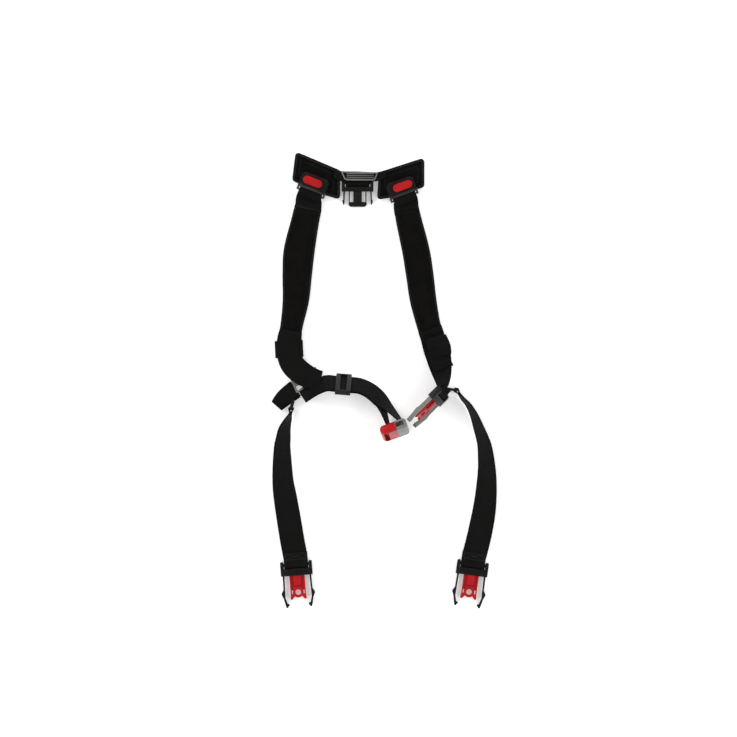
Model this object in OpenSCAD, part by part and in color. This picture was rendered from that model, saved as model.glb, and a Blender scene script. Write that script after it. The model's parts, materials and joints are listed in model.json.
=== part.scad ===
// Strap harness laid out flat: padded yoke, two shoulder straps, chest strap, two leg straps.
// +Y runs from the leg buckles to the yoke, +X is the wearer's left, +Z points up off the surface.

/* [Webbing] */
// Width of the webbing
web_w = 38; // [37:0.5:38]
// Thickness of one layer of webbing
web_t = 2.2; // [1.8:0.1:2.4]

/* [Pads] */
// Thickness of the yoke pads
pad_t = 10.5; // [10.5:0.5:12]
// Thickness of the shoulder strap pads
strap_pad_t = 8; // [7:0.5:9]
// Width of the binding along each pad edge
binding_w = 4; // [3:0.5:5]

/* [Side release buckle] */
// Width of the buckle body
buckle_w = 49.4; // [49:0.2:52]
// Thickness of the buckle body
buckle_t = 10; // [10:0.5:12]
// Radius of the web bar
bar_r = 2.2; // [2:0.1:2.4]
// Width of the centre tongue
tongue_w = 23.8; // [22:0.2:24]
// Radius of the hole at the end of the tongue
hole_r = 4.4; // [4:0.1:4.6]

/* [Yoke locks] */
// Length of a red lock button
button_l = 31; // [28:1:32]
// Width of a red lock button
button_w = 12; // [10:0.5:12]

/* [Hidden] */
$fn = 48;

black = "#1a1a1c";
dark_grey = "#3c3c40";
light_grey = "#9a9a96";
red = "#b8181c";
lip_brown = "#6a625a";
steel = "silver";
foam_grey = "#55555a";

fit_gap = 0.05;      // radial clearance of a running fit
face_gap = 0.3;      // clearance between faces that pass each other

// Places of the buckles: web bar centre, turn about Z, roll about the buckle's own length
left_bar = [-136.7, -286.2, buckle_t / 2];
left_turn = 4.5;
right_bar = [138.4, -286.1, buckle_t / 2];
right_turn = -8;
back_bar = [-41, 307.6, buckle_t / 2];
chest_bar = [89.3, -19.6, 26.5];
chest_turn = -45;
chest_roll = 68;
female_mouth = [36.5, -69.4, 26.2];
female_turn = -70;
female_roll = 72;

// Places of the leg strap pivots, each a post standing on Z
left_pivot = [-144, -44];
left_ring_turn = -14;
right_pivot = [112, -15];
right_ring_turn = 80;
post_r = 2;
ring_h = 43;
ring_l = 13;
rail_t = 1.8;

// Places of the yoke locks: middle of the lip, turn about Z
left_lock = [-113, 294.5];
left_lock_turn = -21;
right_lock = [31, 287.8];
right_lock_turn = 20;

// Outlines of the yoke wings
left_wing = [[-137.5, 356.5], [-143, 311], [-94, 289], [-68, 281], [-68, 327]];
right_wing = [[63, 347], [63, 301], [15, 285], [-11, 281], [-8, 324]];
wing_corner = 5;

// Strap routes. Each point is [x, y, lift above the surface, width, roll about the strap's length].
left_shoulder_route = [
    [-117.6, 270, 0, 43, 0], [-123, 246, 0, 44.5, 0], [-132, 201, 0, 49, 0], [-135, 163, 0, 46.5, 0],
    [-137, 126, 0, 42, 0], [-143, 89, 0, 36, 0], [-147, 66, 0, 36, 0]
];
right_shoulder_route = [
    [34.6, 270, 0, 39, 0], [39.5, 246, 0, 41, 0], [50, 201, 0, 43.5, 0], [56, 163, 0, 43.5, 0],
    [61, 126, 0, 42, 0], [69, 89, 0, 38, 0], [76, 66, 0, 38, 0]
];
left_lower_route = [
    [-147, 64, 5.5, web_w, 0], [-148, 45, 6, web_w, 0], [-143, 27, 7, web_w, 6],
    [-131, 14, 9, web_w, 12], [-114, 4, 11, 36, 16], [-98, 0, 12, 33, 24]
];
left_tail_route = [
    [-167, -40, 5, 21, 0], [-160.5, -32.5, 5, 25, 2], [-151, -23.5, 5, 28, 4], [-138, -14, 5, 30, 6]
];
chest_route = [
    [-127, -25, 6, web_w, 58], [-108, -12, 6, web_w, 55], [-90, -4.5, 6, web_w, 54],
    [-76, -5, 6, web_w, 54], [-63, -6, 6, web_w, 54], [-50, -7, 6, web_w, 54], [-36, -9, 6, web_w, 54],
    [-20, -17, 6, web_w, 54], [-6, -30, 6, web_w, 55]
];
chest_front_end = [[9, -45, 6.5, web_w, 72], [26, -64, 6.5, web_w, 84]];
chest_back_end = [[0, -46, 6.5, web_w, 74], [8, -70, 6.5, web_w, 84]];
right_lower_route = [
    [74, 70, 5, web_w, 0], [80, 50, 6, web_w, 2], [86, 30, 8, web_w, 12],
    [90, 8, 9, web_w, 40], [91, -10, 8.7, web_w, 64]
];
right_tail_route = [
    [80, 66, 12, 34, -4], [86, 50, 15, 36, 0], [87, 34, 13, 35, 8], [92, 18, 20, 33, 16]
];
left_leg_route = [
    [-144.5, -49, 3, web_w, 90], [-147.5, -58, 2, web_w, 78], [-154, -75, 1, web_w, 63],
    [-156.5, -92, 0.5, web_w, 55], [-158, -108, 0.2, web_w, 49], [-157, -154, 0.1, web_w, 33],
    [-153, -185, 0.1, web_w, 19], [-148, -216, 0.3, web_w, 10], [-143, -247, 1.6, web_w, 3],
    [-137.6, -275, 3.9, web_w, 0]
];
right_leg_route = [
    [115.5, -19, 3, web_w, -88], [122, -28, 2, web_w, -84], [131, -38, 1.6, web_w, -80],
    [139.5, -53.5, 1.2, web_w, -74], [147, -73.6, 0.6, web_w, -67], [153.5, -92, 0.3, web_w, -61],
    [157, -108, 0.2, web_w, -56], [159.7, -139, 0.1, web_w, -46], [159, -170, 0.1, web_w, -34],
    [156, -201, 0.2, web_w, -22], [150.5, -232, 0.9, web_w, -10], [145, -256, 2.4, web_w, -3],
    [139.9, -275, 3.9, web_w, 0]
];

// ---- Swept strips ----

steps = 4;           // stations between two points of a route

// One coordinate of a smooth curve through four values, at fraction f between b and c
function smooth_step(a, b, c, d, f) =
    0.5 * (2 * b + (c - a) * f + (2 * a - 5 * b + 4 * c - d) * f * f + (3 * b - a - 3 * c + d) * f * f * f);

function smooth(route) = [
    for (i = [0 : len(route) - 2], j = [0 : steps - 1])
        let (before = route[max(i - 1, 0)], after = route[min(i + 2, len(route) - 1)])
        smooth_step(before, route[i], route[i + 1], after, j / steps),
    route[len(route) - 1]
];

function unit(v) = v / norm(v);

// Direction of travel at station i, level with the surface
function heading(s, i) =
    let (a = s[max(i - 1, 0)], b = s[min(i + 1, len(s) - 1)])
    unit([b[0] - a[0], b[1] - a[1], 0]);

// Height of a strip's middle when its lowest edge is at the station's lift
function middle(p, t) = p[2] + p[3] / 2 * abs(sin(p[4])) + t / 2 * cos(p[4]);

// Four corners of a strip's section, from low to high above its middle layer
function section(s, i, t, low, high, inset) =
    let (p = s[i],
         across = cross(heading(s, i), [0, 0, 1]),
         side = across * cos(p[4]) + [0, 0, sin(p[4])],
         face = [0, 0, cos(p[4])] - across * sin(p[4]),
         centre = [p[0], p[1], middle(p, t)],
         half = p[3] / 2 - inset)
    [centre - side * half + face * low, centre + side * half + face * low,
     centre + side * half + face * high, centre - side * half + face * high];

// A strip swept along a route: t is its full thickness, low and high pick one layer of it
module strip(route, t, low, high, inset = 0) {
    s = smooth(route);
    n = len(s);
    corners = [for (i = [0 : n - 1]) each section(s, i, t, low, high, inset)];
    sides = [for (i = [0 : n - 2], k = [0 : 3])
        let (a = 4 * i + k, b = 4 * i + (k + 1) % 4)
        each [[a, b, a + 4], [b, b + 4, a + 4]]];
    ends = [[0, 2, 1], [0, 3, 2], [4 * n - 4, 4 * n - 3, 4 * n - 2], [4 * n - 4, 4 * n - 2, 4 * n - 1]];
    polyhedron(points = corners, faces = concat(sides, ends), convexity = 8);
}

module webbing(route, low = -web_t / 2, high = web_t / 2) {
    color(black) strip(route, web_t, low, high);
}

// ---- Yoke ----

skin_t = 1.2;        // thickness of a fabric skin
wing_inset = 0.02;   // gap between the binding and the layers inside it

module wing_outline(points, inset) {
    offset(r = wing_corner, $fn = 24) offset(delta = -wing_corner - inset) polygon(points);
}

module wing_layer(points, low, high) {
    translate([0, 0, low]) linear_extrude(high - low) wing_outline(points, binding_w + wing_inset);
}

module wing_cover(points) {
    color(black) wing_layer(points, pad_t - skin_t, pad_t);
}

module wing_foam(points) {
    color(foam_grey) wing_layer(points, skin_t, pad_t - skin_t);
}

module wing_lining(points) {
    color(black) wing_layer(points, 0, skin_t);
}

module wing_binding(points) {
    color(black) linear_extrude(pad_t) difference() {
        wing_outline(points, 0);
        wing_outline(points, binding_w);
    }
}

bridge_outline = [
    [-77, 328], [-66, 325.5], [-12, 323.5], [2, 327], [4, 317], [-12, 310.4], [-66, 310.4], [-79, 317]
];
bridge_t = 2.6;

module bridge_panel() {
    color(black) translate([0, 0, pad_t]) linear_extrude(bridge_t) polygon(bridge_outline);
}

piping_outline = [[-67, 325.2], [-61.5, 312.6], [-57, 310.8], [-16, 310.6], [-13.5, 312.2], [-9, 323.2]];
piping_w = 1.8;
rib_rows = 3;
rib_gap = 3.2;

// Raised piping round three sides of the bridge and the ribs between
module bridge_piping() {
    color(light_grey) translate([0, 0, pad_t + bridge_t]) linear_extrude(1.4) {
        difference() {
            polygon(piping_outline);
            offset(delta = -piping_w) polygon(piping_outline);
        }
        for (i = [0 : rib_rows - 1])
            translate([-58, 314.2 + i * rib_gap]) square([42, 1]);
    }
}

// ---- Webbing hems round a bar ----

hem_r = 4.1;
hem_l = 14;

// Double webbing stitched round a bar that runs along X, its tail leaving along +Y
module hem(width, tail) {
    color(black) difference() {
        union() {
            rotate([0, 90, 0]) cylinder(r = hem_r, h = width, center = true);
            translate([-width / 2, 0, -web_t]) cube([width, tail, 2 * web_t]);
        }
        rotate([0, 90, 0]) cylinder(r = bar_r + fit_gap, h = width + 1, center = true);
    }
}

module place(bar, turn, roll = 0) {
    translate(bar) rotate([0, 0, turn]) rotate([0, roll, 0]) children();
}

module at_back() place(back_bar, 0) children();
module at_chest() place(chest_bar, chest_turn, chest_roll) children();
module at_left_end() place(left_bar, left_turn) children();
module at_right_end() place(right_bar, right_turn) children();

module back_buckle_loop() {
    at_back() difference() {
        hem(web_w - 1, hem_l);
        translate([-web_w, 6, -web_t - 1]) cube([2 * web_w, hem_l, web_t + 1]);
    }
    color(black) translate([back_bar[0] - web_w / 2 + 0.5, back_bar[1] + 10.5, back_bar[2] + web_t])
        cube([web_w - 1, 3.5, pad_t - back_bar[2] - web_t]);
}

// ---- Side release buckle, male half: web bar at the origin, tips towards -Y ----

bridge_near = 6.5;       // web bar to the near side of the body's cross piece
ear_w = 5;
ear_r = 5;
knuckle_r = 2.4;
knuckle_x = 20.6;
knuckle_back = 4.5;      // front of the body to the knuckle's axis
arm_t = 6.4;
socket_gap = 0.1;

end_body = 17;           // web bar to the front of the body
back_body = 13.5;
end_reach = 67;          // web bar to the tips of the arms
barb_y = 38.5;           // web bar to the near side of the arms' barbs

module buckle_frame(front) {
    knuckle_y = front - knuckle_back;
    color(black) difference() {
        union() {
            translate([-buckle_w / 2, -front, -buckle_t / 2])
                cube([buckle_w, front - bridge_near, buckle_t]);
            for (side = [-1, 1]) {
                translate([side * (buckle_w - ear_w) / 2, 0, 0]) {
                    rotate([0, 90, 0]) cylinder(r = ear_r, h = ear_w, center = true);
                    translate([-ear_w / 2, -bridge_near - 0.1, -ear_r])
                        cube([ear_w, bridge_near + 0.1, 2 * ear_r]);
                }
            }
            rotate([0, 90, 0]) cylinder(r = bar_r, h = buckle_w - ear_w, center = true);
        }
        for (side = [-1, 1]) {
            translate([side * knuckle_x, -knuckle_y, 0]) {
                cylinder(r = knuckle_r + fit_gap, h = arm_t + 2 * socket_gap, center = true);
                translate([-2.2, -6, -arm_t / 2 - socket_gap]) cube([4.2, 6, arm_t + 2 * socket_gap]);
            }
        }
        translate([-tongue_w / 2 - socket_gap, -front - 1, -2.5 - socket_gap])
            cube([tongue_w + 2 * socket_gap, 5, 5 + 2 * socket_gap]);
    }
}

// Latch arm on the +X side, flexing inward about its knuckle
module buckle_arm(shade) {
    knuckle_y = end_body - knuckle_back;
    color(shade) {
        translate([knuckle_x, -knuckle_y, -arm_t / 2]) cylinder(r = knuckle_r, h = arm_t);
        translate([0, 0, -arm_t / 2]) linear_extrude(arm_t) polygon([
            [19.3, -knuckle_y], [22.1, -knuckle_y], [22.7, -barb_y], [25.9, -barb_y - 5],
            [25.9, -barb_y - 7.5], [23.4, -barb_y - 13], [20.1, 1.2 - end_reach], [18.6, -end_reach],
            [17, 1 - end_reach], [16.6, 5 - end_reach], [18.2, 8 - end_reach], [20.5, -barb_y - 12],
            [20, -barb_y]
        ]);
        translate([16.7, 4.6 - end_reach, -arm_t / 2]) cylinder(r = 1.8, h = arm_t);
    }
}

hole_y = 43.3;

module end_tongue() {
    root = end_body - 4;
    color(red) difference() {
        union() {
            translate([-tongue_w / 2, -end_body, -2.5]) cube([tongue_w, end_body - root, 5]);
            translate([-tongue_w / 2, -40, -1]) cube([tongue_w, 40 - end_body + 0.1, 2]);
            for (side = [-1, 1])
                translate([side * (tongue_w / 2 - 1) - 1, -46, -2.5]) cube([2, 46 - end_body + 0.1, 5]);
            translate([-7, -hole_y, -2.5]) cube([14, hole_y - 34, 5]);
            translate([-5.5, -33, -2.5]) cube([11, 33 - end_body + 0.1, 6.6]);
            translate([0, -hole_y, -2.5]) cylinder(r = 8.4, h = 5);
            for (side = [0, 1]) mirror([side, 0, 0]) translate([0, 0, -2.5]) linear_extrude(5)
                polygon([[5, -47], [11.9, -45], [12.6, -53.5], [10.2, -54.6], [6.4, -50.6]]);
        }
        translate([0, -hole_y, -4]) cylinder(r = hole_r, h = 9);
    }
}

// ---- Back buckle: short body, long anchor shaped tongue ----

back_reach = 34;

// Short plain latch arm on the +X side
module back_arm() {
    knuckle_y = back_body - knuckle_back;
    color(light_grey) {
        translate([knuckle_x, -knuckle_y, -arm_t / 2]) cylinder(r = knuckle_r, h = arm_t);
        translate([0, 0, -arm_t / 2]) linear_extrude(arm_t) polygon([
            [19.3, -knuckle_y], [22.1, -knuckle_y], [22.4, -back_reach + 8], [23.8, -back_reach + 6],
            [22.6, -back_reach], [20.4, -back_reach], [20.2, -back_reach + 8]
        ]);
    }
}

module back_tongue() {
    color(dark_grey) {
        translate([-tongue_w / 2, -back_body, -2.5]) cube([tongue_w, 4, 5]);
        translate([-6.6, -31, -2.5]) cube([13.2, 31 - back_body + 0.1, 6]);
        for (side = [-1, 1])
            translate([side * 12.9 - 0.9, -31, -1.5]) cube([1.8, 31 - back_body - 0.4, 3]);
        translate([0, 0, -2.5]) linear_extrude(5)
            polygon([
                [-13.5, -30], [-14.6, -33.5], [-11.5, -37.4], [11.5, -37.4], [14.6, -33.5], [13.5, -30]
            ]);
    }
}

// ---- Chest buckle, female half ----

rim_l = 1.6;             // solid rim in front of the latch windows
window_l = 15.8;
collar_l = 18;
shell_l = 25;
female_w = 50;
female_t = 15;
cavity_w = 45.6;
cavity_t = 7.6;
cavity_l = 31;
far_bar = 3.5;
web_slot = 7.5;

module at_mouth() place(female_mouth, female_turn, female_roll) children();

module chest_female_collar() {
    color(light_grey) at_mouth() difference() {
        translate([-female_w / 2, -collar_l, -female_t / 2]) cube([female_w, collar_l, female_t]);
        translate([-cavity_w / 2, -collar_l - 1, -cavity_t / 2]) cube([cavity_w, collar_l + 2, cavity_t]);
        // Side windows that the arm barbs latch in
        for (side = [-1, 1])
            translate([side * female_w / 2 - 4, -rim_l - window_l, -cavity_t / 2])
                cube([8, window_l, cavity_t]);
    }
}

module chest_female_shell() {
    far = collar_l + shell_l;
    color(red) at_mouth() difference() {
        translate([-female_w / 2, -far, -female_t / 2]) cube([female_w, shell_l, female_t]);
        translate([-cavity_w / 2, -cavity_l, -cavity_t / 2]) cube([cavity_w, cavity_l, cavity_t]);
        // Web slot in front of the far bar
        translate([-web_w / 2 - 1, -far + far_bar, -female_t]) cube([web_w + 2, web_slot, 2 * female_t]);
    }
}

// ---- Yoke locks: lip at the origin, yoke towards +Y ----

lock_w = 44;
lock_h = 10;
lock_low = pad_t;
lock_y0 = 4.2;
lock_y1 = 24.5;
wall = 2;
button_at = [-2.6, 13.4];
button_rise = 3;
flange_t = 1.4;
ceiling_gap = 0.1;
tongue_t = 2.4;

module slot_shape(l, w) {
    square([l - w, w], center = true);
    for (side = [-1, 1]) translate([side * (l - w) / 2, 0]) circle(d = w);
}

module lock_housing() {
    color(dark_grey) translate([0, 0, lock_low]) difference() {
        linear_extrude(lock_h) polygon([
            [-lock_w / 2, lock_y0], [lock_w / 2, lock_y0], [lock_w / 2, lock_y1 - 4],
            [lock_w / 2 - 4, lock_y1], [-lock_w / 2 + 4, lock_y1], [-lock_w / 2, lock_y1 - 4]
        ]);
        translate([-lock_w / 2 + wall, lock_y0 + wall, wall / 2])
            cube([lock_w - 2 * wall, lock_y1 - lock_y0 - 2 * wall, lock_h - 1.5 * wall]);
        translate([-15.4, lock_y0 - 1, wall / 2]) cube([30.8, wall + 2, tongue_t + 0.6]);
        translate([button_at[0], button_at[1], 0]) linear_extrude(lock_h + 1)
            slot_shape(button_l + 2 * face_gap, button_w + 2 * face_gap);
    }
}

// Latch plate: a tongue inside the lock and a T bar for the webbing outside it
module lock_tongue() {
    low = lock_low + wall / 2 + 0.2;
    color(lip_brown) translate([0, 0, low]) difference() {
        union() {
            translate([-15, 3.9, 0]) cube([30, 16, tongue_t]);
            translate([-23, -5, 0]) cube([46, 9, tongue_t]);
        }
        translate([-web_w / 2 - 0.6, -2.4, -1]) cube([web_w + 1.2, 2.6, tongue_t + 2]);
    }
}

module lock_button() {
    ceiling = lock_low + lock_h - wall - ceiling_gap;
    color(red) translate([button_at[0], button_at[1], ceiling - flange_t]) {
        linear_extrude(flange_t + ceiling_gap + wall + button_rise) slot_shape(button_l, button_w);
        linear_extrude(flange_t) slot_shape(button_l + 2, button_w + 2);
    }
}

spring_low = lock_low + wall / 2 + 0.2 + tongue_t + 0.05;
spring_high = lock_low + lock_h - wall - ceiling_gap - flange_t - 0.05;
wire_r = 0.25;
coil_r = 4;
turns = 1.5;
coil_steps = 16;
wire_sides = 6;

// Round wire coil standing on Z
module lock_spring() {
    count = turns * coil_steps;
    rise = spring_high - spring_low - 2 * wire_r;
    points = [for (i = [0 : count], k = [0 : wire_sides - 1])
        let (turn = 360 * i / coil_steps, around = 360 * k / wire_sides, r = coil_r + wire_r * cos(around))
        [r * cos(turn), r * sin(turn), spring_low + wire_r + rise * i / count + wire_r * sin(around)]];
    sides = [for (i = [0 : count - 1], k = [0 : wire_sides - 1])
        let (a = i * wire_sides + k, b = i * wire_sides + (k + 1) % wire_sides)
        each [[a, b, a + wire_sides], [b, b + wire_sides, a + wire_sides]]];
    last = count * wire_sides;
    ends = [[for (k = [wire_sides - 1 : -1 : 0]) k], [for (k = [0 : wire_sides - 1]) last + k]];
    color(steel) translate([button_at[0], button_at[1], 0])
        polyhedron(points = points, faces = concat(sides, ends), convexity = 6);
}

module at_left_lock() {
    translate(left_lock) rotate([0, 0, left_lock_turn]) children();
}

module at_right_lock() {
    translate(right_lock) rotate([0, 0, right_lock_turn]) mirror([1, 0, 0]) children();
}

// Webbing that hangs from a latch plate down to the shoulder strap
left_tab_route = [
    [-113.6, 292.7, 9.6, web_w, 0], [-115.4, 288, 7.5, web_w, 0], [-117, 282, 4.4, web_w, 0],
    [-117.3, 275.8, 3, web_w, 0]
];
right_tab_route = [
    [31.7, 285.9, 9.6, web_w, 0], [33, 282.3, 8, web_w, 0], [34.1, 278.8, 5.4, web_w, 0],
    [34.3, 275.8, 3.4, web_w, 0]
];

// ---- Padded shoulder straps: cover, foam and lining, one on the other ----

// One flat layer of a padded strap that lies level on the surface
module flat_layer(route, low, high, inset = 0) {
    s = smooth(route);
    last = len(s) - 1;
    right_edge = [for (i = [0 : last]) flat_edge(s, i, s[i][3] / 2 - inset)];
    left_edge = [for (i = [last : -1 : 0]) flat_edge(s, i, inset - s[i][3] / 2)];
    translate([0, 0, low]) linear_extrude(high - low) polygon(concat(right_edge, left_edge));
}

function flat_edge(s, i, offset_across) =
    let (across = cross(heading(s, i), [0, 0, 1]))
    [s[i][0] + across[0] * offset_across, s[i][1] + across[1] * offset_across];

module shoulder_cover(route) {
    color(black) flat_layer(route, strap_pad_t - skin_t, strap_pad_t);
}

module shoulder_foam(route) {
    color(foam_grey) flat_layer(route, skin_t, strap_pad_t - skin_t, 1.5);
}

module shoulder_lining(route) {
    color(black) flat_layer(route, 0, skin_t);
}

// ---- Adjusters and loops of plastic ----

// Flat frame with two slots for webbing, its length along X
module two_slot_frame(l, w, t, slot_l, slot_w, shade) {
    color(shade) difference() {
        translate([-l / 2, -w / 2, 0]) cube([l, w, t]);
        for (side = [-1, 1])
            translate([-slot_l / 2, side * w / 4 - slot_w / 2, -1]) cube([slot_l, slot_w, t + 2]);
    }
}

module left_adjuster() {
    translate([-147.6, 49, strap_pad_t - 5]) rotate([0, 0, 3])
        two_slot_frame(44, 27, 4, web_w - 1, 6.5, black);
}

module left_junction_frame() {
    translate([-121, 1, 9]) rotate([0, 0, 24])
        two_slot_frame(44, 26, 4, web_w, 7, light_grey);
}

module chest_strap_front() {
    webbing(concat(chest_route, chest_front_end), 0.05, web_t);
}

module chest_strap_back() {
    webbing(concat(chest_route, chest_back_end), -web_t, -0.05);
}

slider_at = chest_route[4];
slider_turn = -4.4;
slider_l = 44;
slider_w = 24;
slider_t = 9;

// Sleeve that slides along the doubled chest strap
module chest_slider() {
    color(dark_grey) translate([slider_at[0], slider_at[1], middle(slider_at, web_t)])
        rotate([0, 0, slider_turn]) rotate([-slider_at[4], 0, 0]) difference() {
            translate([-slider_w / 2, -slider_l / 2, -slider_t / 2]) cube([slider_w, slider_l, slider_t]);
            translate([-slider_w, -web_w / 2 - 1, -3.4]) cube([2 * slider_w, web_w + 2, 6.8]);
            translate([-5, -web_w / 2 - 1, 0]) cube([10, web_w + 2, slider_t]);
        }
}

// ---- Leg straps ----

// Upright loop: a pivot post at the origin, a second post along +Y, a rail below and one above
module leg_ring() {
    color(light_grey) {
        for (y = [0, ring_l]) translate([0, y, 0]) cylinder(r = post_r, h = ring_h);
        for (low = [0, ring_h - rail_t])
            translate([-post_r, 0, low]) cube([2 * post_r, ring_l, rail_t]);
    }
}

// Hem round an upright pivot post
module pivot_hem(pivot) {
    color(black) translate([pivot[0], pivot[1], 3]) difference() {
        cylinder(r = post_r + web_t, h = web_w);
        translate([0, 0, -1]) cylinder(r = post_r + fit_gap, h = web_w + 2);
    }
}

module left_leg_ring() {
    translate(left_pivot) rotate([0, 0, left_ring_turn]) leg_ring();
}

module right_leg_ring() {
    translate(right_pivot) rotate([0, 0, right_ring_turn]) leg_ring();
}

module left_leg_hems() {
    pivot_hem(left_pivot);
    at_left_end() hem(web_w - 0.5, hem_l);
}

module right_leg_hems() {
    pivot_hem(right_pivot);
    at_right_end() hem(web_w - 0.5, hem_l);
}

// ---- The two sides of each kind of part ----

module left_wing_cover() wing_cover(left_wing);
module left_wing_foam() wing_foam(left_wing);
module left_wing_lining() wing_lining(left_wing);
module left_wing_binding() wing_binding(left_wing);
module right_wing_cover() wing_cover(right_wing);
module right_wing_foam() wing_foam(right_wing);
module right_wing_lining() wing_lining(right_wing);
module right_wing_binding() wing_binding(right_wing);

module left_lock_housing() at_left_lock() lock_housing();
module left_lock_tongue() at_left_lock() lock_tongue();
module left_lock_button() at_left_lock() lock_button();
module left_lock_spring() at_left_lock() lock_spring();
module right_lock_housing() at_right_lock() lock_housing();
module right_lock_tongue() at_right_lock() lock_tongue();
module right_lock_button() at_right_lock() lock_button();
module right_lock_spring() at_right_lock() lock_spring();

module back_buckle_frame() at_back() buckle_frame(back_body);
module back_buckle_tongue() at_back() back_tongue();
module back_buckle_left_arm() at_back() mirror([1, 0, 0]) back_arm();
module back_buckle_right_arm() at_back() back_arm();

module left_shoulder_cover() shoulder_cover(left_shoulder_route);
module left_shoulder_foam() shoulder_foam(left_shoulder_route);
module left_shoulder_lining() shoulder_lining(left_shoulder_route);
module right_shoulder_cover() shoulder_cover(right_shoulder_route);
module right_shoulder_foam() shoulder_foam(right_shoulder_route);
module right_shoulder_lining() shoulder_lining(right_shoulder_route);

module left_loop_tab() webbing(left_tab_route);
module right_loop_tab() webbing(right_tab_route);
module left_lower_webbing() webbing(left_lower_route);
module left_tail_webbing() webbing(left_tail_route);
module right_lower_webbing() webbing(right_lower_route);
module right_tail_webbing() webbing(right_tail_route);
module left_leg_strap() webbing(left_leg_route);
module right_leg_strap() webbing(right_leg_route);

module chest_buckle_frame() at_chest() buckle_frame(end_body);
module chest_buckle_tongue() at_chest() end_tongue();
module chest_buckle_left_arm() at_chest() mirror([1, 0, 0]) buckle_arm(light_grey);
module chest_buckle_right_arm() at_chest() buckle_arm(light_grey);

module left_buckle_frame() at_left_end() buckle_frame(end_body);
module left_buckle_tongue() at_left_end() end_tongue();
module left_buckle_left_arm() at_left_end() mirror([1, 0, 0]) buckle_arm(black);
module left_buckle_right_arm() at_left_end() buckle_arm(black);

module right_buckle_frame() at_right_end() buckle_frame(end_body);
module right_buckle_tongue() at_right_end() end_tongue();
module right_buckle_left_arm() at_right_end() mirror([1, 0, 0]) buckle_arm(black);
module right_buckle_right_arm() at_right_end() buckle_arm(black);

left_wing_cover();
left_wing_foam();
left_wing_lining();
left_wing_binding();
right_wing_cover();
right_wing_foam();
right_wing_lining();
right_wing_binding();
bridge_panel();
bridge_piping();
back_buckle_loop();
left_lock_housing();
left_lock_tongue();
left_lock_button();
left_lock_spring();
left_loop_tab();
right_lock_housing();
right_lock_tongue();
right_lock_button();
right_lock_spring();
right_loop_tab();
back_buckle_frame();
back_buckle_tongue();
back_buckle_left_arm();
back_buckle_right_arm();
left_shoulder_cover();
left_shoulder_foam();
left_shoulder_lining();
right_shoulder_cover();
right_shoulder_foam();
right_shoulder_lining();
left_adjuster();
left_lower_webbing();
left_junction_frame();
left_tail_webbing();
chest_strap_front();
chest_strap_back();
chest_slider();
chest_female_collar();
chest_female_shell();
chest_buckle_frame();
chest_buckle_tongue();
chest_buckle_left_arm();
chest_buckle_right_arm();
right_lower_webbing();
right_tail_webbing();
left_leg_ring();
left_leg_strap();
left_leg_hems();
left_buckle_frame();
left_buckle_tongue();
left_buckle_left_arm();
left_buckle_right_arm();
right_leg_ring();
right_leg_strap();
right_leg_hems();
right_buckle_frame();
right_buckle_tongue();
right_buckle_left_arm();
right_buckle_right_arm();
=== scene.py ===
import json
import math

import bmesh
import bpy
import numpy as np
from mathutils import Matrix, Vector


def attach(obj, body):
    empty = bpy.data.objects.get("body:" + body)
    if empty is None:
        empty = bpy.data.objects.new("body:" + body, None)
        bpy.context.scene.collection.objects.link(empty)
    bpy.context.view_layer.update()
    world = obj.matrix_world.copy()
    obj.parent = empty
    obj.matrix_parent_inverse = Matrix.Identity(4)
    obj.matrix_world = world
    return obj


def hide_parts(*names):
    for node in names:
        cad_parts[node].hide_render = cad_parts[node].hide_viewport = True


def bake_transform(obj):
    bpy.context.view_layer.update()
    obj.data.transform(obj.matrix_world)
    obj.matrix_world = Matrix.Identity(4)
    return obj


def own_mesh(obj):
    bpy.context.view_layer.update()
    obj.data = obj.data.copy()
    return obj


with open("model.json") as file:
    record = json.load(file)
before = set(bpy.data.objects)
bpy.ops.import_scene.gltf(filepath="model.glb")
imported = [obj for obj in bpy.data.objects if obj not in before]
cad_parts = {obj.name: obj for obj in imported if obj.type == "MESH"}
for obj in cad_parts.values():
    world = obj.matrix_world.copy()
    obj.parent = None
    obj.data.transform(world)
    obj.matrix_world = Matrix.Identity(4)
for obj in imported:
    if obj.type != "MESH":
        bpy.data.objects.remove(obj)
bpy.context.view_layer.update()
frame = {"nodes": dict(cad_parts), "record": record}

MM = 0.001
BODY_OF = {node: body for body, nodes in frame["record"]["behaviour"]["bodies"].items() for node in nodes}
SLOT_OF = {part["node"]: part["material_slot"] for part in frame["record"]["subparts"]}

# ---------------------------------------------------------------- dimensions, in millimetres as in the CAD

WEB_W = 38.0
WEB_T = 2.2
PAD_T = 10.5
STRAP_PAD_T = 8.0
BINDING_W = 4.6

LEFT_BAR, LEFT_TURN = (-136.7, -286.2, 5.0), 4.5
RIGHT_BAR, RIGHT_TURN = (138.4, -286.1, 5.0), -8.0
BACK_BAR = (-41.0, 307.6, 5.0)
CHEST_BAR, CHEST_TURN, CHEST_ROLL = (89.3, -19.6, 26.5), -45.0, 68.0
FEMALE_MOUTH, FEMALE_TURN, FEMALE_ROLL = (36.5, -69.4, 26.2), -70.0, 72.0
LEFT_PIVOT = (-144.0, -44.0)
RIGHT_PIVOT = (112.0, -15.0)
LEFT_LOCK, LEFT_LOCK_TURN = (-113.0, 294.5), -21.0
RIGHT_LOCK, RIGHT_LOCK_TURN = (31.0, 287.8), 20.0

LEFT_WING = [(-137.5, 356.5), (-143, 311), (-94, 289), (-68, 281), (-68, 327)]
RIGHT_WING = [(63, 347), (63, 301), (15, 285), (-11, 281), (-8, 324)]

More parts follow.
